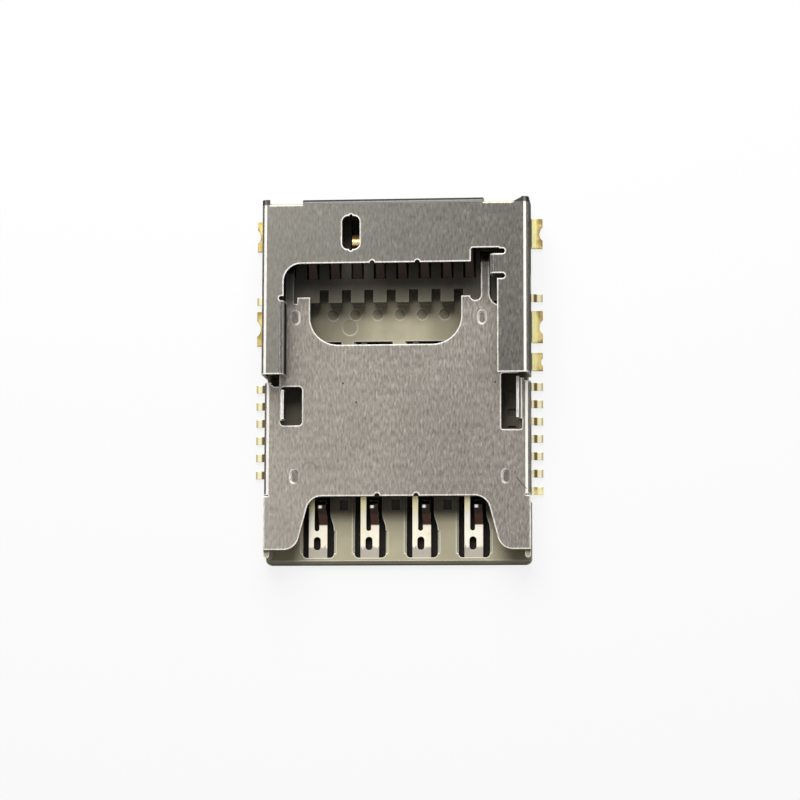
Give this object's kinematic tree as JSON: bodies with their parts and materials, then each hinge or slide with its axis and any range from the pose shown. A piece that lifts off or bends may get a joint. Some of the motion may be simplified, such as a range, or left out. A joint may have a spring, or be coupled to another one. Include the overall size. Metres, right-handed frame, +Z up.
{
  "type": "stacked sim and memory card socket",
  "caption": "Low surface-mount socket with two stacked card slots: a moulded base with spring contacts under a folded steel middle plate, and a folded steel top cover with side rails.",
  "frame": {"origin": "middle of the socket's footprint, on the board", "axes": "+Z up from the board, +Y the way that both cards go in, so the card mouths face -Y"},
  "size_m": [0.0142, 0.0176, 0.0026],
  "materials": {
    "moulding": "warm beige-grey moulded plastic, matte",
    "plate_steel": "rolled stainless sheet, fine grain along the slot",
    "cover_steel": "rolled stainless sheet, fine grain along the slot",
    "contact_gold": "thin bright gold plating over nickel on spring strip"
  },
  "bodies": {
    "root": {"base_moulding": "moulding", "sim_cover": "plate_steel", "card_cover": "cover_steel", "sim_contact_1": "contact_gold", "sim_contact_2": "contact_gold", "sim_contact_3": "contact_gold", "sim_contact_4": "contact_gold", "sim_contact_5": "contact_gold", "sim_contact_6": "contact_gold", "sim_contact_7": "contact_gold", "sim_contact_8": "contact_gold", "card_contact_1": "contact_gold", "card_contact_2": "contact_gold", "card_contact_3": "contact_gold", "card_contact_4": "contact_gold", "card_contact_5": "contact_gold", "card_contact_6": "contact_gold", "card_contact_7": "contact_gold", "card_contact_8": "contact_gold", "detect_spring": "contact_gold"}
  },
  "joints": []
}
